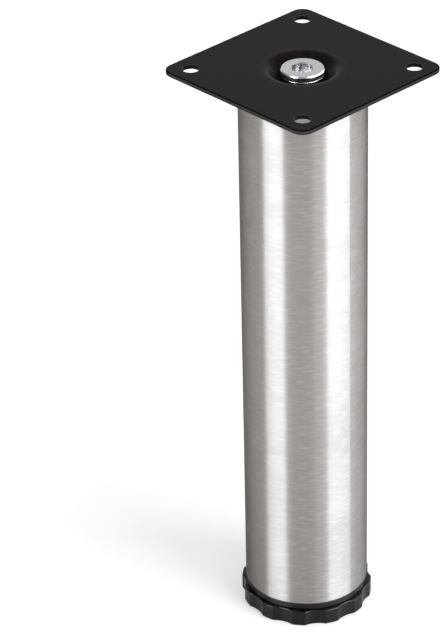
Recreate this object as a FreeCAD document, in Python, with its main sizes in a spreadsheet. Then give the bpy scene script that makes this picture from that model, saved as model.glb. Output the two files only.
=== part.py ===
"""Adjustable furniture leg: a round steel tube under a square mounting plate,
with a scalloped plastic foot that screws in and out of the tube's lower end.

Frame: +Z up, the plate's sides lie along X and Y, and the origin is the centre
of the foot's underside on the floor. Millimetres. The foot is screwed right in.
"""
import FreeCAD, Part
import Sketcher
import os

# Driving dimensions

SIZES = {
    # The tube
    "tube_diameter": 50.0,
    "tube_wall": 1.2,
    "tube_length": 229.5,
    "tube_edge_radius": 0.25,
    # The plate on its upper end
    "plate_side": 76.5,
    "plate_thickness": 2.0,
    "plate_corner_radius": 5.0,
    "plate_edge_radius": 0.5,
    "hole_inset": 8.25,
    "hole_diameter": 6.6,
    "hole_edge_radius": 0.4,
    # The pressed dimple that lets the bolt's head lie flush
    "dimple_clearance": 1.2,
    "dimple_run": 4.2,
    "bend_inner_radius": 2.2,
    # The bolt in the dimple, and its washer
    "bolt_diameter": 10.0,
    "bolt_length": 20.0,
    "bolt_tip_chamfer": 1.0,
    "bolt_hole_clearance": 0.25,
    "head_diameter": 17.0,
    "head_height": 2.2,
    "head_bevel": 0.4,
    "head_sink": 0.1,
    "socket_width": 8.0,
    "socket_depth": 4.4,
    "socket_bearing": 15.0,
    "washer_diameter": 17.0,
    "washer_thickness": 1.6,
    "washer_edge_radius": 0.35,
    # The steel disc welded inside the tube's upper end
    "disc_thickness": 3.0,
    "insert_clearance": 0.05,
    # The nut under the disc and the nut in the plug
    "nut_width": 17.0,
    "nut_height": 8.0,
    "nut_corner_drop": 0.9,
    "thread_clearance": 0.05,
    # The plug in the tube's lower end
    "flange_height": 2.8,
    "flange_inset": 0.1,
    "flange_edge_radius": 0.35,
    "plug_depth": 16.0,
    "plug_wall": 2.0,
    "plug_cap": 3.0,
    "plug_rib_count": 6,
    "plug_rib_width": 1.8,
    "pocket_clearance": 0.1,
    "pocket_sink": 0.3,
    "hub_wall": 2.0,
    "stud_way_clearance": 1.5,
    # The foot
    "foot_gap": 0.2,
    "foot_height": 6.7,
    "foot_wall": 1.8,
    "foot_top": 2.0,
    "valley_reach": 0.5,
    "scallop_depth": 1.2,
    "scallop_radius": 11.0,
    "scallop_count": 12,
    "valley_bearing": 23.0,
    "lobe_edge_radius": 0.5,
    "foot_edge_radius": 0.4,
    "foot_rib_width": 1.5,
    "foot_rib_sink": 0.6,
    # The stud in the foot
    "stud_diameter": 10.0,
    "stud_length": 36.0,
    "stud_tip_chamfer": 1.0,
    "stud_head_diameter": 16.0,
    "stud_head_height": 3.0,
    "stud_head_sink": 0.8,
}

doc = FreeCAD.newDocument("furniture_leg")
sheet = doc.addObject("Spreadsheet::Sheet", "Sizes")
for row, (alias, value) in enumerate(SIZES.items(), start=1):
    sheet.set(f"A{row}", alias.replace("_", " "))
    sheet.set(f"B{row}", str(value))
    sheet.setAlias(f"B{row}", alias)
doc.recompute()

# Distances worked out from the driving dimensions, as expressions

TUBE_RADIUS = "(Sizes.tube_diameter / 2)"
TUBE_INNER_RADIUS = f"({TUBE_RADIUS} - Sizes.tube_wall)"
INSERT_RADIUS = f"({TUBE_INNER_RADIUS} - Sizes.insert_clearance)"
HOLE_SPACING = "(Sizes.plate_side - 2 * Sizes.hole_inset)"
BOLT_HOLE_RADIUS = "(Sizes.bolt_diameter / 2 + Sizes.bolt_hole_clearance)"
STUD_WAY_RADIUS = "(Sizes.stud_diameter / 2 + Sizes.stud_way_clearance)"

DIMPLE_DROP = "(Sizes.head_sink + Sizes.head_height + Sizes.washer_thickness)"
DIMPLE_FLOOR_RADIUS = "(Sizes.washer_diameter / 2 + Sizes.dimple_clearance)"
DIMPLE_RIM_RADIUS = f"({DIMPLE_FLOOR_RADIUS} + Sizes.dimple_run)"
DIMPLE_SLOPE = f"sqrt(Sizes.dimple_run ^ 2 + {DIMPLE_DROP} ^ 2)"
# The sheet keeps its thickness round a bend, so its lower corners stand this much further out
BEND_SHIFT = f"(Sizes.plate_thickness * ({DIMPLE_SLOPE} - Sizes.dimple_run) / {DIMPLE_DROP})"
BEND_OUTER_RADIUS = "(Sizes.bend_inner_radius + Sizes.plate_thickness)"

HUB_RADIUS = "(Sizes.nut_width / sqrt(3) + Sizes.hub_wall)"
POCKET_DEPTH = "(Sizes.pocket_sink + Sizes.nut_height)"
HUB_HEIGHT = f"({POCKET_DEPTH} + Sizes.plug_cap)"

VALLEY_RADIUS = f"({TUBE_RADIUS} + Sizes.valley_reach)"
LOBE_RADIUS = f"({VALLEY_RADIUS} + Sizes.scallop_depth)"
FOOT_CAVITY_RADIUS = f"({VALLEY_RADIUS} - Sizes.foot_wall)"
FOOT_CAVITY_HEIGHT = "(Sizes.foot_height - Sizes.foot_top)"
STUD_POCKET_RADIUS = "(Sizes.stud_head_diameter / 2 + Sizes.insert_clearance)"
STUD_POCKET_DEPTH = "(Sizes.stud_head_sink + Sizes.stud_head_height)"
FOOT_HUB_RADIUS = f"({STUD_POCKET_RADIUS} + Sizes.hub_wall)"

PLUG_Z = "(Sizes.foot_height + Sizes.foot_gap)"
LOWER_NUT_Z = f"({PLUG_Z} + Sizes.pocket_sink)"
TUBE_Z = f"({PLUG_Z} + Sizes.flange_height)"
PLATE_Z = f"({TUBE_Z} + Sizes.tube_length)"
BULGE_Z = f"({PLATE_Z} - {DIMPLE_DROP})"
WASHER_Z = f"({BULGE_Z} + Sizes.plate_thickness)"
HEAD_Z = f"({WASHER_Z} + Sizes.washer_thickness)"
BOLT_TIP_Z = f"({HEAD_Z} - Sizes.bolt_length)"
DISC_Z = f"({BULGE_Z} - Sizes.disc_thickness)"
UPPER_NUT_Z = f"({DISC_Z} - Sizes.nut_height)"

ZERO = "0"
CLOSE = 0.001


def worked_out(expression):
    """The number that an expression gives with the values in the sheet."""
    found = sheet.evalExpression(expression)
    return float(getattr(found, "Value", found))


# Sketches, whose every distance is tied to an expression

# In a sketch, geometry -1 is the axis across and also holds the origin, as its point 1, and -2 is the
# axis upward. Of a line or circle, point 1 is the start, 2 the end and 3 the centre.


def new_sketch(body, name, plane):
    """A sketch on one of a body's origin planes, such as XY_Plane."""
    sketch = body.newObject("Sketcher::SketchObject", name)
    support = [feature for feature in body.Origin.OriginFeatures if feature.Role == plane][0]
    sketch.AttachmentSupport = (support, [""])
    sketch.MapMode = "FlatFace"
    return sketch


def tie(sketch, kind, *where, to):
    """Hold a dimension of the sketch at the value of an expression."""
    index = sketch.addConstraint(Sketcher.Constraint(kind, *where, worked_out(to)))
    sketch.setExpression(f"Constraints[{index}]", to)


def place(sketch, point, across, up):
    """Hold a point at two tied distances from the origin, or on an axis for a distance of zero."""
    for kind, axis, distance in (("DistanceX", -2, across), ("DistanceY", -1, up)):
        if distance == ZERO:
            sketch.addConstraint(Sketcher.Constraint("PointOnObject", *point, axis))
        else:
            tie(sketch, kind, -1, 1, *point, to=distance)


def draw_outline(sketch, corners):
    """A closed outline of straight lines through corners that are pairs of expressions."""
    points = [FreeCAD.Vector(worked_out(across), worked_out(up), 0) for across, up in corners]
    for start, end in zip(points, points[1:] + points[:1]):
        sketch.addGeometry(Part.LineSegment(start, end))
    for index, (across, up) in enumerate(corners):
        before = (index - 1) % len(corners)
        sketch.addConstraint(Sketcher.Constraint("Coincident", before, 2, index, 1))
        place(sketch, (index, 1), across, up)


def draw_circle(sketch, radius, across=ZERO, up=ZERO):
    """A circle about a centre that is a pair of expressions."""
    centre = FreeCAD.Vector(worked_out(across), worked_out(up), 0)
    index = sketch.addGeometry(Part.Circle(centre, FreeCAD.Vector(0, 0, 1), worked_out(radius)))
    tie(sketch, "Radius", index, to=radius)
    place(sketch, (index, 3), across, up)


# Bodies and features

def new_body(name):
    body = doc.addObject("PartDesign::Body", name)
    body.Label = name
    return body


def revolve(body, kind, name, corners):
    """A PartDesign::Revolution or PartDesign::Groove of an outline all round the upright axis."""
    sketch = new_sketch(body, f"{name}_outline", "XZ_Plane")
    draw_outline(sketch, corners)
    feature = body.newObject(kind, name)
    feature.Profile = sketch
    feature.ReferenceAxis = (sketch, ["V_Axis"])
    feature.Angle = 360.0
    return feature


def pad(body, name, sketch, height):
    feature = body.newObject("PartDesign::Pad", name)
    feature.Profile = sketch
    feature.setExpression("Length", height)
    return feature


def pocket(body, name, sketch, depth):
    """A pocket cut upward from its sketch on the body's floor."""
    feature = body.newObject("PartDesign::Pocket", name)
    feature.Profile = sketch
    feature.Reversed = True
    feature.setExpression("Length", depth)
    return feature


def repeat_round(body, feature, count):
    """Copies of a feature, evenly spaced round the upright axis."""
    pattern = body.newObject("PartDesign::PolarPattern", f"{feature.Name}_ring")
    pattern.Originals = [feature]
    upright = [axis for axis in body.Origin.OriginFeatures if axis.Role == "Z_Axis"][0]
    pattern.Axis = (upright, [""])
    pattern.Angle = 360.0
    pattern.setExpression("Occurrences", count)
    body.Tip = pattern
    return pattern


def round_off(body, name, radius, choose):
    """Fillet the edges of the body's last feature that a test picks out."""
    doc.recompute()
    last = body.Tip
    chosen = [f"Edge{number}" for number, edge in enumerate(last.Shape.Edges, start=1) if choose(edge)]
    feature = body.newObject("PartDesign::Fillet", name)
    feature.Base = (last, chosen)
    feature.setExpression("Radius", radius)
    return feature


def is_flat_at(edge, *heights):
    box = edge.BoundBox
    return any(abs(box.ZMin - height) < CLOSE and abs(box.ZMax - height) < CLOSE for height in heights)


def is_ring(edge, radius, height):
    """Whether an edge is a circle, or an arc of one, about the upright axis."""
    if not isinstance(edge.Curve, Part.Circle) or not is_flat_at(edge, height):
        return False
    centre = edge.Curve.Center
    return abs(edge.Curve.Radius - radius) < CLOSE and max(abs(centre.x), abs(centre.y)) < CLOSE


def is_upright(edge):
    box = edge.BoundBox
    return box.XLength < CLOSE and box.YLength < CLOSE


def from_axis(edge):
    centre = edge.BoundBox.Center
    return (centre.x ** 2 + centre.y ** 2) ** 0.5


# Primitives and booleans, for the plain turned and hexagonal pieces

def cylinder(name, radius, height, base=ZERO):
    solid = doc.addObject("Part::Cylinder", name)
    solid.setExpression("Radius", radius)
    solid.setExpression("Height", height)
    solid.setExpression("Placement.Base.z", base)
    return solid


def hexagon(name, width, height, base=ZERO):
    """A hexagonal prism, by its width across flats, with two flats along X."""
    solid = doc.addObject("Part::Prism", name)
    solid.Polygon = 6
    solid.setExpression("Circumradius", f"{width} / sqrt(3)")
    solid.setExpression("Height", height)
    solid.setExpression("Placement.Base.z", base)
    return solid


def cut(name, base, tool):
    piece = doc.addObject("Part::Cut", name)
    piece.Base = base
    piece.Tool = tool
    piece.Label = name
    return piece


# The pieces of the leg, from the top down

def make_mounting_plate():
    """A square pressed plate with four screw holes and a dimple round the bolt's hole."""
    body = new_body("mounting_plate")
    body.setExpression("Placement.Base.z", BULGE_Z)
    half = "(Sizes.plate_side / 2)"
    underside = DIMPLE_DROP
    upper_face = f"({DIMPLE_DROP} + Sizes.plate_thickness)"

    square = new_sketch(body, "plate_square", "XY_Plane")
    draw_outline(square, [(f"-{half}", f"-{half}"), (half, f"-{half}"), (half, half), (f"-{half}", half)])
    slab = pad(body, "plate_slab", square, upper_face)
    doc.recompute()

    # Below the sheet only the dimple's bulge stays
    inner = f"({DIMPLE_FLOOR_RADIUS} + {BEND_SHIFT})"
    outer = f"({DIMPLE_RIM_RADIUS} + {BEND_SHIFT})"
    beyond = "Sizes.plate_side"
    revolve(body, "PartDesign::Groove", "under_plate",
            [(inner, ZERO), (beyond, ZERO), (beyond, underside), (outer, underside)])
    revolve(body, "PartDesign::Groove", "dimple",
            [(ZERO, "Sizes.plate_thickness"), (DIMPLE_FLOOR_RADIUS, "Sizes.plate_thickness"),
             (DIMPLE_RIM_RADIUS, upper_face), (ZERO, upper_face)])
    bolt_hole = new_sketch(body, "bolt_hole_circle", "XY_Plane")
    draw_circle(bolt_hole, BOLT_HOLE_RADIUS)
    pocket(body, "bolt_hole", bolt_hole, upper_face)

    screw_hole = new_sketch(body, "screw_hole_circle", "XY_Plane")
    draw_circle(screw_hole, "Sizes.hole_diameter / 2", f"{HOLE_SPACING} / 2", f"{HOLE_SPACING} / 2")
    repeat_round(body, pocket(body, "screw_hole", screw_hole, upper_face), "4")

    corners = worked_out(half)
    top = worked_out(upper_face)
    bottom = worked_out(underside)
    round_off(body, "plate_corners", "Sizes.plate_corner_radius",
              lambda edge: is_upright(edge) and from_axis(edge) > corners)
    round_off(body, "bend_outside", BEND_OUTER_RADIUS,
              lambda edge: is_ring(edge, worked_out(DIMPLE_RIM_RADIUS), top)
              or is_ring(edge, worked_out(inner), 0))
    round_off(body, "bend_inside", "Sizes.bend_inner_radius",
              lambda edge: is_ring(edge, worked_out(DIMPLE_FLOOR_RADIUS), worked_out("Sizes.plate_thickness"))
              or is_ring(edge, worked_out(outer), bottom))
    hole_reach = worked_out(f"{HOLE_SPACING} / sqrt(2)")
    round_off(body, "hole_rims", "Sizes.hole_edge_radius",
              lambda edge: is_flat_at(edge, top, bottom) and isinstance(edge.Curve, Part.Circle)
              and abs(from_axis(edge) - hole_reach) < CLOSE)
    round_off(body, "plate_rims", "Sizes.plate_edge_radius",
              lambda edge: is_flat_at(edge, top, bottom) and from_axis(edge) > hole_reach)
    return body


def make_bolt_washer():
    """A flat washer with rounded edges between the bolt's head and the dimple's floor."""
    body = new_body("bolt_washer")
    body.setExpression("Placement.Base.z", WASHER_Z)
    radius = "Sizes.washer_diameter / 2"
    revolve(body, "PartDesign::Revolution", "washer_ring",
            [(BOLT_HOLE_RADIUS, ZERO), (radius, ZERO),
             (radius, "Sizes.washer_thickness"), (BOLT_HOLE_RADIUS, "Sizes.washer_thickness")])
    round_off(body, "washer_edges", "Sizes.washer_edge_radius",
              lambda edge: is_ring(edge, worked_out(radius), 0)
              or is_ring(edge, worked_out(radius), worked_out("Sizes.washer_thickness")))
    return body


def make_plate_bolt():
    """A bolt with a low cylindrical head, a bevelled rim and a hexagonal socket."""
    body = new_body("plate_bolt")
    body.setExpression("Placement.Base.z", BOLT_TIP_Z)
    shank = "Sizes.bolt_diameter / 2"
    head = "Sizes.head_diameter / 2"
    top = "(Sizes.bolt_length + Sizes.head_height)"
    revolve(body, "PartDesign::Revolution", "bolt_turned",
            [(ZERO, ZERO), (f"{shank} - Sizes.bolt_tip_chamfer", ZERO), (shank, "Sizes.bolt_tip_chamfer"),
             (shank, "Sizes.bolt_length"), (head, "Sizes.bolt_length"), (head, f"{top} - Sizes.head_bevel"),
             (f"{head} - Sizes.head_bevel", top), (ZERO, top)])
    doc.recompute()
    hexagonal = body.newObject("PartDesign::SubtractivePrism", "key_socket")
    hexagonal.Polygon = 6
    hexagonal.setExpression("Circumradius", "Sizes.socket_width / sqrt(3)")
    hexagonal.setExpression("Height", "Sizes.socket_depth")
    hexagonal.setExpression("Placement.Base.z", f"{top} - Sizes.socket_depth")
    hexagonal.setExpression("Placement.Rotation.Angle", "Sizes.socket_bearing")
    body.Tip = hexagonal
    return body


def make_nut(name, base):
    """A hexagonal nut with its corners turned down at both ends and a plain bore."""
    across_corners = "Sizes.nut_width / sqrt(3)"
    flat_corner = "Sizes.nut_width / 2"
    turned = new_body(f"{name}_turned")
    turned.setExpression("Placement.Base.z", base)
    revolve(turned, "PartDesign::Revolution", f"{name}_envelope",
            [(ZERO, ZERO), (flat_corner, ZERO), (across_corners, "Sizes.nut_corner_drop"),
             (across_corners, "Sizes.nut_height - Sizes.nut_corner_drop"),
             (flat_corner, "Sizes.nut_height"), (ZERO, "Sizes.nut_height")])
    blank = doc.addObject("Part::Common", f"{name}_blank")
    blank.Base = hexagon(f"{name}_hexagon", "Sizes.nut_width", "Sizes.nut_height", base)
    blank.Tool = turned
    bore_radius = "Sizes.bolt_diameter / 2 + Sizes.thread_clearance"
    return cut(name, blank, cylinder(f"{name}_bore", bore_radius, "Sizes.nut_height", base))


def make_end_disc():
    """The steel disc that carries the plate: it is welded inside the tube, under the dimple."""
    return cut("end_disc", cylinder("disc_blank", INSERT_RADIUS, "Sizes.disc_thickness", DISC_Z),
               cylinder("disc_bore", BOLT_HOLE_RADIUS, "Sizes.disc_thickness", DISC_Z))


def make_tube():
    """The round tube, with its cut ends' outer edges broken."""
    body = new_body("tube")
    body.setExpression("Placement.Base.z", TUBE_Z)
    ring = new_sketch(body, "tube_ring", "XY_Plane")
    draw_circle(ring, TUBE_RADIUS)
    draw_circle(ring, TUBE_INNER_RADIUS)
    pad(body, "tube_length", ring, "Sizes.tube_length")
    round_off(body, "tube_edges", "Sizes.tube_edge_radius",
              lambda edge: is_ring(edge, worked_out(TUBE_RADIUS), 0)
              or is_ring(edge, worked_out(TUBE_RADIUS), worked_out("Sizes.tube_length")))
    return body


def make_bottom_plug():
    """The plastic plug in the tube's lower end: a flange under the tube and a ribbed hub for the nut."""
    body = new_body("bottom_plug")
    body.setExpression("Placement.Base.z", PLUG_Z)
    flange = f"({TUBE_RADIUS} - Sizes.flange_inset)"
    spigot_top = "(Sizes.flange_height + Sizes.plug_depth)"
    revolve(body, "PartDesign::Revolution", "plug_turned",
            [(ZERO, ZERO), (flange, ZERO), (flange, "Sizes.flange_height"),
             (INSERT_RADIUS, "Sizes.flange_height"), (INSERT_RADIUS, spigot_top),
             (f"({INSERT_RADIUS} - Sizes.plug_wall)", spigot_top),
             (f"({INSERT_RADIUS} - Sizes.plug_wall)", "Sizes.flange_height"),
             (HUB_RADIUS, "Sizes.flange_height"), (HUB_RADIUS, HUB_HEIGHT), (ZERO, HUB_HEIGHT)])
    doc.recompute()

    rib = new_sketch(body, "plug_rib_outline", "XY_Plane")
    edge = "(Sizes.plug_rib_width / 2)"
    inside = f"({HUB_RADIUS} - Sizes.hub_wall / 2)"
    outside = f"({INSERT_RADIUS} - Sizes.plug_wall / 2)"
    draw_outline(rib, [(inside, f"-{edge}"), (outside, f"-{edge}"), (outside, edge), (inside, edge)])
    repeat_round(body, pad(body, "plug_rib", rib, HUB_HEIGHT), "Sizes.plug_rib_count")

    doc.recompute()
    nut_pocket = body.newObject("PartDesign::SubtractivePrism", "nut_pocket")
    nut_pocket.Polygon = 6
    nut_pocket.setExpression("Circumradius", "(Sizes.nut_width + 2 * Sizes.pocket_clearance) / sqrt(3)")
    nut_pocket.setExpression("Height", POCKET_DEPTH)
    body.Tip = nut_pocket
    stud_way = new_sketch(body, "stud_way_circle", "XY_Plane")
    draw_circle(stud_way, STUD_WAY_RADIUS)
    pocket(body, "stud_way", stud_way, HUB_HEIGHT)
    round_off(body, "flange_edges", "Sizes.flange_edge_radius",
              lambda edge: is_ring(edge, worked_out(flange), 0)
              or is_ring(edge, worked_out(flange), worked_out("Sizes.flange_height")))
    return body


def make_foot():
    """The foot that is turned by hand: a scalloped cap, open below, on ribs and a hub for the stud."""
    body = new_body("foot")
    rim = new_sketch(body, "foot_circle", "XY_Plane")
    draw_circle(rim, LOBE_RADIUS)
    pad(body, "foot_disc", rim, "Sizes.foot_height")

    scallop = new_sketch(body, "scallop_circle", "XY_Plane")
    reach = f"({VALLEY_RADIUS} + Sizes.scallop_radius)"
    draw_circle(scallop, "Sizes.scallop_radius",
                f"{reach} * cos(Sizes.valley_bearing)", f"{reach} * sin(Sizes.valley_bearing)")
    repeat_round(body, pocket(body, "scallop", scallop, "Sizes.foot_height"), "Sizes.scallop_count")
    round_off(body, "lobe_edges", "Sizes.lobe_edge_radius", is_upright)

    top = worked_out("Sizes.foot_height")
    round_off(body, "foot_rims", "Sizes.foot_edge_radius", lambda edge: is_flat_at(edge, 0, top))

    hollow = new_sketch(body, "hollow_ring", "XY_Plane")
    draw_circle(hollow, FOOT_CAVITY_RADIUS)
    draw_circle(hollow, FOOT_HUB_RADIUS)
    pocket(body, "hollow", hollow, FOOT_CAVITY_HEIGHT)
    doc.recompute()

    rib = new_sketch(body, "foot_rib_outline", "XZ_Plane")
    inside = f"({FOOT_HUB_RADIUS} - Sizes.hub_wall / 2)"
    outside = f"({FOOT_CAVITY_RADIUS} + Sizes.foot_wall / 2)"
    draw_outline(rib, [(inside, "Sizes.foot_rib_sink"), (outside, "Sizes.foot_rib_sink"),
                       (outside, FOOT_CAVITY_HEIGHT), (inside, FOOT_CAVITY_HEIGHT)])
    web = pad(body, "foot_rib", rib, "Sizes.foot_rib_width")
    web.Midplane = True
    repeat_round(body, web, "Sizes.scallop_count")

    head_seat = new_sketch(body, "head_seat_circle", "XY_Plane")
    draw_circle(head_seat, STUD_POCKET_RADIUS)
    pocket(body, "head_seat", head_seat, STUD_POCKET_DEPTH)
    stud_bore = new_sketch(body, "stud_bore_circle", "XY_Plane")
    draw_circle(stud_bore, "Sizes.stud_diameter / 2 + Sizes.insert_clearance")
    pocket(body, "stud_bore", stud_bore, "Sizes.foot_height")
    return body


def make_foot_stud():
    """The stud that carries the foot: a round head in the foot's hub and a shank up through the nut."""
    body = new_body("foot_stud")
    body.setExpression("Placement.Base.z", "Sizes.stud_head_sink")
    shank = "Sizes.stud_diameter / 2"
    head = "Sizes.stud_head_diameter / 2"
    tip = "(Sizes.stud_head_height + Sizes.stud_length)"
    revolve(body, "PartDesign::Revolution", "stud_turned",
            [(ZERO, ZERO), (head, ZERO), (head, "Sizes.stud_head_height"), (shank, "Sizes.stud_head_height"),
             (shank, f"{tip} - Sizes.stud_tip_chamfer"), (f"{shank} - Sizes.stud_tip_chamfer", tip),
             (ZERO, tip)])
    return body


pieces = [
    make_mounting_plate(),
    make_bolt_washer(),
    make_plate_bolt(),
    make_end_disc(),
    make_nut("upper_nut", UPPER_NUT_Z),
    make_tube(),
    make_bottom_plug(),
    make_nut("lower_nut", LOWER_NUT_Z),
    make_foot(),
    make_foot_stud(),
]
doc.recompute()

for item in doc.Objects:
    if "Invalid" in item.State or "Error" in item.State:
        raise RuntimeError(f"{item.Name} did not rebuild: {item.State}")
for piece in pieces:
    if piece.Shape.isNull() or not piece.Shape.isValid():
        raise RuntimeError(f"{piece.Label} has no valid shape")

os.makedirs("parts", exist_ok=True)
for piece in pieces:
    piece.Shape.exportStep(f"parts/{piece.Label}.step")
    box = piece.Shape.BoundBox
    print(f"{piece.Label}: {len(piece.Shape.Solids)} solid, {piece.Shape.Volume:.1f} mm3, "
          f"z {box.ZMin:.2f} to {box.ZMax:.2f}, {box.XLength:.2f} x {box.YLength:.2f}")
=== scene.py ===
"""Adjustable furniture leg, dressed for its photograph: camera, studio light, floor, finishes and thread.

Metres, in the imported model's own frame: +Z up, the plate's sides along X and Y, the origin on the
floor under the middle of the foot. Bearings are degrees anticlockwise from +X, seen from above.
"""
import math

import bpy
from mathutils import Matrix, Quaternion, Vector


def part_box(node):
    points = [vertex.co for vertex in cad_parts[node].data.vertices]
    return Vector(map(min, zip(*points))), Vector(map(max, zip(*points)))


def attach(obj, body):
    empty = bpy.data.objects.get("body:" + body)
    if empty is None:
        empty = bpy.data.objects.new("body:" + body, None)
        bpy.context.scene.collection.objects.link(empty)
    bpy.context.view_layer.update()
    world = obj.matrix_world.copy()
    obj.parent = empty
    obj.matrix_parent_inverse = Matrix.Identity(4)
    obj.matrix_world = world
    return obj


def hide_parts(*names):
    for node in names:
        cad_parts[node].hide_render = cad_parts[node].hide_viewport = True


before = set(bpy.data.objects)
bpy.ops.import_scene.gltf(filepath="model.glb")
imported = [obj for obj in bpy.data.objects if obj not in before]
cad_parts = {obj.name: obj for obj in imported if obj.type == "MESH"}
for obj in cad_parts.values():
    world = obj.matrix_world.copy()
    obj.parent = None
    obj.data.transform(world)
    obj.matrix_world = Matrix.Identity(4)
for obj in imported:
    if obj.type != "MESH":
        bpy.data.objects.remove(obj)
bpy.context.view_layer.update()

# The camera, fitted to the plate's edges and holes, the tube's sides and its lower end

CAMERA_PLACE = Vector((0.8120, -0.8084, 0.8104))
CAMERA_AIM = Vector((-0.0229, -0.0244, 0.1322))
CAMERA_ROLL = -1.31
CAMERA_LENS = 191.1
CAMERA_SENSOR = 36.0
CAMERA_BEARING = math.degrees(math.atan2(CAMERA_PLACE.y, CAMERA_PLACE.x))

# A pair whose name ends with FROM_TO is for a ramp: nought at its first number and one at its second

# The studio. GLOW_FROM_TO is how far from the leg reflections come to show the floor's glow; nearer, the
# glow is taken out as painted shade seen only in reflections

FLOOR_SIDE = 12.0
FLOOR_ALBEDO = 0.80
FLOOR_ROUGHNESS = 0.9
FLOOR_GLOW = 0.33
GLOW_FROM_TO = (0.04, 0.26)
WORLD_LIGHT = 0.25
PANEL_DISTANCE = 5.0

# The gloss panels: name, degrees right of the camera from and to, height from and to, brightness

GLOSS_PANELS = (("left_panel", -71.0, -34.5, 0.0, 8.0, 10.7),
                ("right_panel", 39.0, 86.0, 0.0, 8.0, 11.6),
                ("near_right_panel", 16.0, 39.0, 0.0, 8.0, 2.0),
                ("front_panel", -34.5, 16.0, 1.0, 8.0, 0.8),
                ("far_right_panel", 86.0, 135.0, 0.8, 5.4, 4.7))
GLOSS_PANEL_COLOUR = (0.86, 0.94, 1.0)

# The stud's thread: coarse enough to be an adjusting screw, as the coupling's travel a turn says

THREAD_PITCH = 0.0015
THREAD_DEPTH = 0.00092
THREAD_RUNOUT = 0.0022
THREAD_TURN_STEPS = 48
RINGS_PER_PITCH = 12
SHANK_RADIUS = 0.005
TIP_CHAMFER = 0.001
STUD_HEAD_HEIGHT = 0.003
STUD_BEVEL = 0.0004
END_RING_RADIUS = 0.0005

# Nodes: a noise's usual range, the turn of drawn-out gloss, and a mixing node's colour sockets

NOISE_RANGE = (0.25, 0.75)
QUARTER_TURN = 0.25
MIX_COLOURS = (6, 7)
MIX_RESULT = 2

# How much of its gloss brushed steel keeps when it is seen nearly edge-on

EDGE_TINT = (0.2, 0.2, 0.2, 1.0)

# The brushed tube. Lines and patches are a noise's two scales, across the tube's axis and along it

TUBE_STEEL = (0.372, 0.348, 0.334)
TUBE_SCATTER = 0.17
TUBE_SCATTER_GAIN = 1.18
TUBE_ROUGHNESS = (0.29, 0.33)
TUBE_RELIEF = 0.0000007
FINE_LINES = (80.0, 4800.0)
COARSE_LINES = (200.0, 1150.0)
TUBE_PATCHES = (20.0, 160.0)
FINE_SHARE = 0.3
DULL_FROM_TO = (0.46, 0.66)

# Turned zinc, and the bolt head's socket with painted shade and painted highlight streaks; its mouth is in
# depths below the head's top

WASHER_ZINC = (0.42, 0.42, 0.43)
BOLT_ZINC = (0.67, 0.66, 0.66)
STUD_ZINC = (0.66, 0.66, 0.68)
INNER_STEEL = (0.55, 0.55, 0.56)
RING_SCALE = 1500.0
CLOUD_SCALE = 420.0
RING_SHARE = 0.6
DARK_RINGS = 0.90
ZINC_ROUGHNESS_SPREAD = 0.03
SOCKET_REACH_FROM_TO = (0.0050, 0.0048)
SOCKET_MOUTH_FROM_TO = (0.0001, 0.0004)
SOCKET_WALL_FROM_TO = (0.7, 0.4)
# Painted highlight streaks and painted shade in the socket, the last four as shares of the zinc's colour
SOCKET_HIGHLIGHT_STREAKS = (450.0, 120.0)
SOCKET_HIGHLIGHT_STREAKS_FROM_TO = (0.42, 0.55)
SOCKET_PAINTED_SHADE = 0.30
SOCKET_PAINTED_HIGHLIGHT = 1.05
SOCKET_FLOOR_PAINTED_SHADE = 0.40

# The plate's powder coat. A LEVEL is a surface's levelness, and the other pairs are distances

COAT_GLOSS = 0.125
COAT_TINT = (0.4, 0.4, 0.4, 1.0)
COAT_DARK = (0.0066, 0.0046, 0.0050)
COAT_LIGHT = (0.0100, 0.0070, 0.0078)
# Painted shade: a near-black coat without sheen round the bolt's head in the dimple and on the edges'
# fillets
SLOPE_PAINTED_SHADE = (0.0100, 0.0090, 0.0094)
SLOPE_SHADE_METALLIC = 0.9
FILLET_PAINTED_SHADE = (0.0010, 0.0010, 0.0010)
SIDE_COAT = (0.050, 0.047, 0.048)
HOLE_COAT = (0.160, 0.155, 0.158)
DIMPLE_ROUGHNESS = 0.34
COAT_ROUGHNESS = 0.50
RIM_SMOOTHNESS = 0.22
MOTTLE_SCALE = 750.0
COAT_GRAIN = 2600.0
COAT_RELIEF = 0.000010
PLATE_EDGE_FROM_TO = (0.0345, 0.0360)
SIDE_LEVEL_FROM_TO = (0.50, 0.35)
FILLET_LEVEL_FROM_TO = (0.98, 0.90)
HOLE_FROM_MIDDLE = 0.0300
HOLE_RIM_FROM_TO = (0.0041, 0.0039)
RIM_LOWER_LEVEL_FROM_TO = (0.1, 0.3)
RIM_UPPER_LEVEL_FROM_TO = (0.97, 0.85)
DIMPLE_EDGE_FROM_TO = (0.0125, 0.0185)
SLOPE_SHADE_FROM_TO = (0.0110, 0.0094)

# Moulded plastic

PLASTIC_COLOUR = (0.0022, 0.0020, 0.0026, 1.0)
PLASTIC_GLOSS = 0.33
PLASTIC_TINT = (1.0, 0.92, 0.97, 1.0)
PLASTIC_ANISOTROPY = 0.8
PLASTIC_PATCHES = (260.0, 420.0)
PLASTIC_ROUGHNESS_SPREAD = 0.06
PLASTIC_GRAIN = 1800.0
PLASTIC_RELIEF = 0.000010


# Nodes

def fill(tree, node, name, value):
    """Set a node's input, named with underscores for spaces, or link it if the value is an output."""
    set_or_link(tree, node.inputs[name.replace("_", " ")], value)


def set_or_link(tree, socket, value):
    """Give a socket a value, or a link if the value is another node's output."""
    if isinstance(value, bpy.types.NodeSocket):
        tree.links.new(value, socket)
    else:
        socket.default_value = value


def add_node(tree, kind, **inputs):
    """A shader node, with values or links set on its inputs by name."""
    node = tree.nodes.new(kind)
    for name, value in inputs.items():
        fill(tree, node, name, value)
    return node


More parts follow.
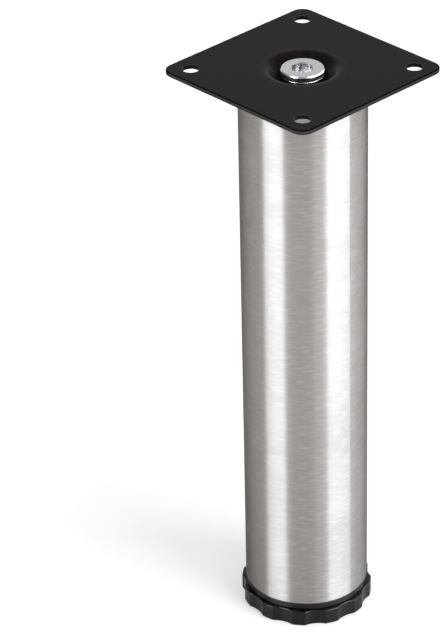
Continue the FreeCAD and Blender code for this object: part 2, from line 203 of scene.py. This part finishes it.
def new_material(name, **settings):
    """A material with one Principled shader: its node tree and the shader."""
    material = bpy.data.materials.new(name)
    material.use_nodes = True
    tree = material.node_tree
    shader = tree.nodes["Principled BSDF"]
    for socket, value in settings.items():
        fill(tree, shader, socket, value)
    return material, tree, shader


def calculate(tree, operation, *values):
    """A maths node over numbers or other nodes' outputs."""
    node = tree.nodes.new("ShaderNodeMath")
    node.operation = operation
    for socket, value in zip(node.inputs, values):
        set_or_link(tree, socket, value)
    return node.outputs["Value"]


def blend(tree, share, one, other):
    """A fixed share of one noise and the rest of another."""
    return calculate(tree, "ADD", calculate(tree, "MULTIPLY", one, share),
                     calculate(tree, "MULTIPLY", other, 1.0 - share))


def between(tree, value, low, high):
    """A number between low, where a value is nought, and high, where it is one."""
    rise = calculate(tree, "SUBTRACT", high, low)
    return calculate(tree, "ADD", low, calculate(tree, "MULTIPLY", value, rise))


def ramp(tree, value, at_none, at_full):
    """Nought where a value is at_none, one where it is at_full, and in between smoothly."""
    node = add_node(tree, "ShaderNodeMapRange", Value=value, From_Min=at_none, From_Max=at_full)
    node.interpolation_type = "SMOOTHSTEP"
    return node.outputs["Result"]


def spread(tree, value, low, high):
    """A noise's usual range spread between two numbers."""
    node = add_node(tree, "ShaderNodeMapRange", Value=value, From_Min=NOISE_RANGE[0],
                    From_Max=NOISE_RANGE[1], To_Min=low, To_Max=high)
    return node.outputs["Result"]


def shade_between(tree, value, dark, light):
    """A colour between two, by a value from nought to one. Each is three numbers or a node's output."""
    mix = add_node(tree, "ShaderNodeMix", Factor=value)
    mix.data_type = "RGBA"
    for place, colour in zip(MIX_COLOURS, (dark, light)):
        opaque = colour if isinstance(colour, bpy.types.NodeSocket) else (*colour, 1.0)
        set_or_link(tree, mix.inputs[place], opaque)
    return mix.outputs[MIX_RESULT]


def scaled_place(tree, across, along):
    """The object's coordinates, scaled by one number across its axis and another along it."""
    coordinates = add_node(tree, "ShaderNodeTexCoord")
    mapping = add_node(tree, "ShaderNodeMapping", Vector=coordinates.outputs["Object"],
                       Scale=(across, across, along))
    return mapping.outputs["Vector"]


def noise(tree, where, detail=2.0, distortion=0.0):
    """A noise, from nought to one, over coordinates that are scaled already."""
    texture = add_node(tree, "ShaderNodeTexNoise", Vector=where, Scale=1.0, Detail=detail,
                       Distortion=distortion)
    return texture.outputs["Fac"]


def object_place(tree):
    """A surface point's place in the object's own coordinates, as three outputs named X, Y and Z."""
    coordinates = add_node(tree, "ShaderNodeTexCoord")
    return add_node(tree, "ShaderNodeSeparateXYZ", Vector=coordinates.outputs["Object"]).outputs


def from_upright_axis(tree):
    """The distance of a surface point from the object's upright axis."""
    place = object_place(tree)
    squares = [calculate(tree, "POWER", place[axis], 2.0) for axis in "XY"]
    return calculate(tree, "SQRT", calculate(tree, "ADD", *squares))


def levelness(tree):
    """One where a surface lies level and nought where it stands upright."""
    coordinates = add_node(tree, "ShaderNodeTexCoord")
    facing = add_node(tree, "ShaderNodeSeparateXYZ", Vector=coordinates.outputs["Normal"])
    return calculate(tree, "ABSOLUTE", facing.outputs["Z"])


def bump(tree, shader, height, depth):
    """Relief on the shader, with its depth in metres."""
    node = add_node(tree, "ShaderNodeBump", Strength=1.0, Distance=depth, Height=height)
    tree.links.new(node.outputs["Normal"], shader.inputs["Normal"])


def brush_round_axis(tree, shader, anisotropic):
    """Make the shader's gloss that of fine lines running round the upright axis."""
    tangent = add_node(tree, "ShaderNodeTangent")
    tangent.direction_type = "RADIAL"
    tangent.axis = "Z"
    tree.links.new(tangent.outputs["Tangent"], shader.inputs["Tangent"])
    shader.inputs["Anisotropic"].default_value = anisotropic
    shader.inputs["Anisotropic Rotation"].default_value = QUARTER_TURN


# Finishes

def brushed_tube():
    """Steel brushed round the tube in fine and coarse lines. The duller ones scatter light all round."""
    material, tree, shader = new_material("brushed_tube", Specular_Tint=EDGE_TINT)
    brush_round_axis(tree, shader, anisotropic=1.0)
    fine = noise(tree, scaled_place(tree, *FINE_LINES), detail=2.0)
    coarse = noise(tree, scaled_place(tree, *COARSE_LINES), detail=3.0, distortion=0.3)
    patches = noise(tree, scaled_place(tree, *TUBE_PATCHES), detail=1.0)
    lines = blend(tree, FINE_SHARE, fine, coarse)
    dull = ramp(tree, lines, *DULL_FROM_TO)
    scattering = tuple(part * TUBE_SCATTER_GAIN for part in TUBE_STEEL)
    fill(tree, shader, "Base_Color", shade_between(tree, dull, TUBE_STEEL, scattering))
    fill(tree, shader, "Metallic", between(tree, dull, 1.0, 1.0 - TUBE_SCATTER))
    fill(tree, shader, "Roughness", spread(tree, patches, *TUBE_ROUGHNESS))
    bump(tree, shader, lines, TUBE_RELIEF)
    return material


def paint_socket_shade_and_highlights(tree, colour, distance, height, head_top):
    """Painted shade inside the key socket, deepest on its level floor, and painted highlight streaks on
    its upright walls.
    """
    within = ramp(tree, distance, *SOCKET_REACH_FROM_TO)
    below = ramp(tree, height, *(head_top - depth for depth in SOCKET_MOUTH_FROM_TO))
    inside = calculate(tree, "MULTIPLY", within, below)
    highlight_streaks = ramp(tree, noise(tree, scaled_place(tree, *SOCKET_HIGHLIGHT_STREAKS)), *SOCKET_HIGHLIGHT_STREAKS_FROM_TO)
    wall = ramp(tree, levelness(tree), *SOCKET_WALL_FROM_TO)
    # Painted shade on the socket's level floor; painted highlight streaks and shade on its upright walls
    painted_socket_light = between(tree, wall, SOCKET_FLOOR_PAINTED_SHADE, highlight_streaks)
    painted_shade_and_highlights = between(tree, painted_socket_light, SOCKET_PAINTED_SHADE, SOCKET_PAINTED_HIGHLIGHT)
    shaded = add_node(tree, "ShaderNodeVectorMath", Vector=colour)
    shaded.operation = "SCALE"
    fill(tree, shaded, "Scale", between(tree, inside, 1.0, painted_shade_and_highlights))
    return shaded.outputs["Vector"]


def turned_zinc(name, light, roughness, anisotropic, head_top=None):
    """Zinc-plated steel turned on a lathe: fine rings, faint clouds and, in a head, painted shade and
    painted highlight streaks in the key socket.
    """
    material, tree, shader = new_material(name, Metallic=1.0)
    brush_round_axis(tree, shader, anisotropic)
    distance = from_upright_axis(tree)
    height = object_place(tree)["Z"]
    section = add_node(tree, "ShaderNodeCombineXYZ", X=distance, Y=height)
    scaled = add_node(tree, "ShaderNodeMapping", Vector=section.outputs["Vector"],
                      Scale=(RING_SCALE, RING_SCALE, 1.0))
    rings = noise(tree, scaled.outputs["Vector"], detail=1.0)
    clouds = noise(tree, scaled_place(tree, CLOUD_SCALE, CLOUD_SCALE))
    shade = spread(tree, blend(tree, RING_SHARE, rings, clouds), 0.0, 1.0)
    colour = shade_between(tree, shade, tuple(DARK_RINGS * part for part in light), light)
    if head_top is not None:
        colour = paint_socket_shade_and_highlights(tree, colour, distance, height, head_top)
    fill(tree, shader, "Base_Color", colour)
    fill(tree, shader, "Roughness", spread(tree, clouds, roughness - ZINC_ROUGHNESS_SPREAD,
                                           roughness + ZINC_ROUGHNESS_SPREAD))
    return material


def plate_regions(tree):
    """How much of a point belongs to the plate's upright sides, its edges' fillets and its holes' rims."""
    level = levelness(tree)
    place = object_place(tree)
    from_middle = [calculate(tree, "ABSOLUTE", place[axis]) for axis in "XY"]
    at_edge = ramp(tree, calculate(tree, "MAXIMUM", *from_middle), *PLATE_EDGE_FROM_TO)
    side = calculate(tree, "MULTIPLY", at_edge, ramp(tree, level, *SIDE_LEVEL_FROM_TO))
    fillet_shade = calculate(tree, "MULTIPLY", at_edge, ramp(tree, level, *FILLET_LEVEL_FROM_TO))
    from_hole = [calculate(tree, "POWER", calculate(tree, "SUBTRACT", part, HOLE_FROM_MIDDLE), 2.0)
                 for part in from_middle]
    hole_distance = calculate(tree, "SQRT", calculate(tree, "ADD", *from_hole))
    at_hole = ramp(tree, hole_distance, *HOLE_RIM_FROM_TO)
    rounded = calculate(tree, "MULTIPLY", ramp(tree, level, *RIM_LOWER_LEVEL_FROM_TO),
                        ramp(tree, level, *RIM_UPPER_LEVEL_FROM_TO))
    return side, fillet_shade, calculate(tree, "MULTIPLY", rounded, at_hole)


def powder_coat():
    """Black powder coat: matt, mottled and finely grained, with painted shade round the bolt's head in the
    dimple and on the edges' fillets, and glossier on the plate's sides and the holes' rims."""
    material, tree, shader = new_material("powder_coat", Specular_IOR_Level=COAT_GLOSS,
                                          Specular_Tint=COAT_TINT)
    side, fillet_shade, hole = plate_regions(tree)
    distance = from_upright_axis(tree)
    dimple_shade = ramp(tree, distance, *SLOPE_SHADE_FROM_TO)
    gloss = calculate(tree, "MAXIMUM", side, hole)
    mottle = spread(tree, noise(tree, scaled_place(tree, MOTTLE_SCALE, MOTTLE_SCALE)), 0.0, 1.0)
    matt = shade_between(tree, mottle, COAT_DARK, COAT_LIGHT)
    # Painted shade: the dimple round the head and the edges' fillets are made near black and without sheen
    coat_with_dimple_shade = shade_between(tree, dimple_shade, matt, SLOPE_PAINTED_SHADE)
    dark = shade_between(tree, fillet_shade, coat_with_dimple_shade, FILLET_PAINTED_SHADE)
    shiny = shade_between(tree, hole, SIDE_COAT, HOLE_COAT)
    fill(tree, shader, "Base_Color", shade_between(tree, gloss, dark, shiny))
    painted_shade_without_sheen = calculate(tree, "MAXIMUM", calculate(tree, "MULTIPLY", dimple_shade, SLOPE_SHADE_METALLIC), fillet_shade)
    fill(tree, shader, "Metallic", calculate(tree, "MAXIMUM", gloss, painted_shade_without_sheen))
    outside = ramp(tree, distance, *DIMPLE_EDGE_FROM_TO)
    roughness = between(tree, outside, DIMPLE_ROUGHNESS, COAT_ROUGHNESS)
    smoothing = calculate(tree, "MULTIPLY", gloss, RIM_SMOOTHNESS)
    fill(tree, shader, "Roughness", calculate(tree, "SUBTRACT", roughness, smoothing))
    grain = noise(tree, scaled_place(tree, COAT_GRAIN, COAT_GRAIN), detail=1.0)
    bump(tree, shader, grain, COAT_RELIEF)
    return material


def moulded_plastic(name, roughness):
    """Black moulded plastic with a faint spark-eroded grain and smoother patches."""
    material, tree, shader = new_material(name, Base_Color=PLASTIC_COLOUR,
                                          Specular_IOR_Level=PLASTIC_GLOSS, Specular_Tint=PLASTIC_TINT)
    brush_round_axis(tree, shader, PLASTIC_ANISOTROPY)
    patches = noise(tree, scaled_place(tree, *PLASTIC_PATCHES))
    fill(tree, shader, "Roughness", spread(tree, patches, roughness - PLASTIC_ROUGHNESS_SPREAD,
                                           roughness + PLASTIC_ROUGHNESS_SPREAD))
    grain = noise(tree, scaled_place(tree, PLASTIC_GRAIN, PLASTIC_GRAIN), detail=2.0)
    bump(tree, shader, grain, PLASTIC_RELIEF)
    return material


def give(names, material):
    """Put a finish on CAD nodes, in place of the colour that they came with."""
    for name in names:
        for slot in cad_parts[name].material_slots:
            slot.link = "OBJECT"
            slot.material = material


# The stud's thread

def thread_profile():
    """Depth below the crest against the share of a pitch: a flat crest, two flanks and a flat root."""
    return ((0.0, 0.0), (0.125, 0.0), (0.40, 1.0), (0.60, 1.0), (0.875, 0.0), (1.0, 0.0))


def depth_at(share):
    """The thread's depth at a share of its pitch, as a share of its full depth."""
    corners = thread_profile()
    for (before, deep_before), (after, deep_after) in zip(corners, corners[1:]):
        if before <= share <= after:
            return deep_before + (deep_after - deep_before) * (share - before) / (after - before)
    return 0.0


def make_threaded_stud(material):
    """The foot's stud with its real thread, standing exactly where the plain CAD stud is."""
    low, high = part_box("foot_stud")
    vertices, faces = [], []
    head_radius = high.x
    head_top = low.z + STUD_HEAD_HEIGHT

    def ring(height, radius_at):
        start = len(vertices)
        for step in range(THREAD_TURN_STEPS):
            angle = 2 * math.pi * step / THREAD_TURN_STEPS
            radius = radius_at(angle)
            vertices.append((radius * math.cos(angle), radius * math.sin(angle), height))
        return start

    def threaded_radius(angle, height):
        share = (height / THREAD_PITCH - angle / (2 * math.pi)) % 1.0
        below = min(1.0, max(0.0, (height - head_top) / THREAD_RUNOUT))
        radius = SHANK_RADIUS - THREAD_DEPTH * depth_at(share) * below
        left = high.z - height
        if left < TIP_CHAMFER:
            radius = min(radius, SHANK_RADIUS - (TIP_CHAMFER - left))
        return radius

    plain_rings = ((END_RING_RADIUS, low.z),
                   (head_radius - STUD_BEVEL, low.z),
                   (head_radius, low.z + STUD_BEVEL),
                   (head_radius, head_top - STUD_BEVEL),
                   (head_radius - STUD_BEVEL, head_top),
                   (SHANK_RADIUS + STUD_BEVEL, head_top),
                   (SHANK_RADIUS, head_top + STUD_BEVEL))
    starts = [ring(height, lambda angle, radius=radius: radius) for radius, height in plain_rings]
    ring_step = THREAD_PITCH / RINGS_PER_PITCH
    for index in range(1, int((high.z - head_top - STUD_BEVEL) / ring_step) + 1):
        height = head_top + STUD_BEVEL + index * ring_step
        starts.append(ring(height, lambda angle, height=height: threaded_radius(angle, height)))
    starts.append(ring(high.z, lambda angle: END_RING_RADIUS))
    for one, other in zip(starts, starts[1:]):
        for step in range(THREAD_TURN_STEPS):
            after = (step + 1) % THREAD_TURN_STEPS
            faces.append((one + step, one + after, other + after, other + step))
    faces.append(tuple(starts[0] + step for step in reversed(range(THREAD_TURN_STEPS))))
    faces.append(tuple(starts[-1] + step for step in range(THREAD_TURN_STEPS)))

    mesh = bpy.data.meshes.new("threaded_stud")
    mesh.from_pydata(vertices, [], faces)
    mesh.validate()
    mesh.materials.append(material)
    stud = bpy.data.objects.new("threaded_stud", mesh)
    bpy.context.scene.collection.objects.link(stud)
    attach(stud, "stud")
    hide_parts("foot_stud")


# Camera, light and floor

def make_camera():
    """The camera at the place from which the photograph was taken."""
    data = bpy.data.cameras.new("camera")
    data.lens = CAMERA_LENS
    data.sensor_width = CAMERA_SENSOR
    camera = bpy.data.objects.new("camera", data)
    camera.location = CAMERA_PLACE
    camera.rotation_mode = "QUATERNION"
    level = (CAMERA_AIM - CAMERA_PLACE).to_track_quat("-Z", "Y")
    camera.rotation_quaternion = level @ Quaternion((0.0, 0.0, 1.0), math.radians(CAMERA_ROLL))
    bpy.context.scene.collection.objects.link(camera)
    bpy.context.scene.camera = camera


def place_lamp(name, bearing, distance, height, size, brightness, aim_height):
    """A rectangular lamp at a bearing, turned to a height on the leg's axis and hidden from the camera."""
    angle = math.radians(bearing)
    place = Vector((distance * math.cos(angle), distance * math.sin(angle), height))
    data = bpy.data.lights.new(name, "AREA")
    data.shape = "RECTANGLE"
    data.size, data.size_y = size
    data.energy = brightness * size[0] * size[1] * math.pi
    lamp = bpy.data.objects.new(name, data)
    lamp.location = place
    lamp.rotation_mode = "QUATERNION"
    lamp.rotation_quaternion = (Vector((0.0, 0.0, aim_height)) - place).to_track_quat("-Z", "Y")
    lamp.visible_camera = False
    bpy.context.scene.collection.objects.link(lamp)
    return lamp


def make_panel(name, right_from, right_to, low, high, brightness):
    """An upright panel that fills a range of degrees to the right of the camera, seen from the leg."""
    half_angle = math.radians((right_to - right_from) / 2)
    width = 2 * PANEL_DISTANCE * math.tan(half_angle)
    middle = (low + high) / 2
    bearing = CAMERA_BEARING + (right_from + right_to) / 2
    return place_lamp(name, bearing, PANEL_DISTANCE, middle, (width, high - low), brightness, middle)


def make_floor():
    """A floor that stays under the foot, takes its shadow and looks white, in reflections too save for
    painted shade near the leg.
    """
    half = FLOOR_SIDE / 2
    mesh = bpy.data.meshes.new("floor")
    corners = [(-half, -half, 0.0), (half, -half, 0.0), (half, half, 0.0), (-half, half, 0.0)]
    mesh.from_pydata(corners, [], [(0, 1, 2, 3)])
    floor = bpy.data.objects.new("floor", mesh)
    bpy.context.scene.collection.objects.link(floor)
    material, tree, shader = new_material("floor_white", Base_Color=(FLOOR_ALBEDO,) * 3 + (1.0,),
                                          Roughness=FLOOR_ROUGHNESS, Specular_IOR_Level=0.0,
                                          Emission_Color=(1.0, 1.0, 1.0, 1.0))
    path = add_node(tree, "ShaderNodeLightPath")
    distance = from_upright_axis(tree)
    # Painted shade: in reflections the floor's glow fades out near the leg
    gloss_glow_shaded_near_leg = calculate(tree, "MULTIPLY", path.outputs["Is Glossy Ray"],
                          ramp(tree, distance, *GLOW_FROM_TO))
    camera_or_gloss = calculate(tree, "MAXIMUM", path.outputs["Is Camera Ray"], gloss_glow_shaded_near_leg)
    seen = calculate(tree, "MAXIMUM", camera_or_gloss, path.outputs["Is Transmission Ray"])
    fill(tree, shader, "Emission_Strength", calculate(tree, "MULTIPLY", seen, FLOOR_GLOW))
    mesh.materials.append(material)
    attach(floor, "stud")


def make_world():
    """An even, weak white light from all round."""
    world = bpy.data.worlds.new("studio")
    bpy.context.scene.world = world
    world.use_nodes = True
    background = world.node_tree.nodes["Background"]
    background.inputs["Color"].default_value = (1.0, 1.0, 1.0, 1.0)
    background.inputs["Strength"].default_value = WORLD_LIGHT


def keep_off_the_plate(lamps):
    """Leave the matt plate out of what these lamps light: they are there for the bright bands on metal."""
    left_out = bpy.data.collections.new("matt_plate")
    left_out.objects.link(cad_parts["mounting_plate"])
    left_out.collection_objects[0].light_linking.link_state = "EXCLUDE"
    for lamp in lamps:
        lamp.light_linking.receiver_collection = left_out


def make_lights():
    """Two lamps that no gloss shows, a dim panel behind the leg, and the panels that only gloss shows."""
    key = make_panel("key", right_from=36.0, right_to=80.0, low=0.8, high=5.8, brightness=4.8)
    key.visible_glossy = False
    overhead = place_lamp("overhead", CAMERA_BEARING, distance=0.1, height=2.2, size=(1.6, 1.6),
                          brightness=3.0, aim_height=0.0)
    overhead.visible_glossy = False
    make_panel("back_panel", right_from=135.0, right_to=225.0, low=0.3, high=4.6, brightness=0.52)
    gloss_panels = [make_panel(*settings) for settings in GLOSS_PANELS]
    for panel in gloss_panels:
        panel.visible_diffuse = False
        panel.data.color = GLOSS_PANEL_COLOUR
    keep_off_the_plate(gloss_panels)


give(["tube"], brushed_tube())
give(["mounting_plate"], powder_coat())
give(["bolt_washer"], turned_zinc("washer_zinc", WASHER_ZINC, roughness=0.2, anisotropic=0.0))
give(["plate_bolt"], turned_zinc("turned_zinc", BOLT_ZINC, roughness=0.22, anisotropic=0.5,
                                 head_top=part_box("plate_bolt")[1].z))
give(["end_disc", "upper_nut", "lower_nut"],
     turned_zinc("plain_steel", INNER_STEEL, roughness=0.4, anisotropic=0.3))
give(["bottom_plug"], moulded_plastic("plug_plastic", roughness=0.36))
give(["foot"], moulded_plastic("foot_plastic", roughness=0.27))
make_threaded_stud(turned_zinc("stud_zinc", STUD_ZINC, roughness=0.3, anisotropic=0.0))

make_camera()
make_world()
make_floor()
make_lights()

bpy.context.scene.view_settings.view_transform = "Standard"
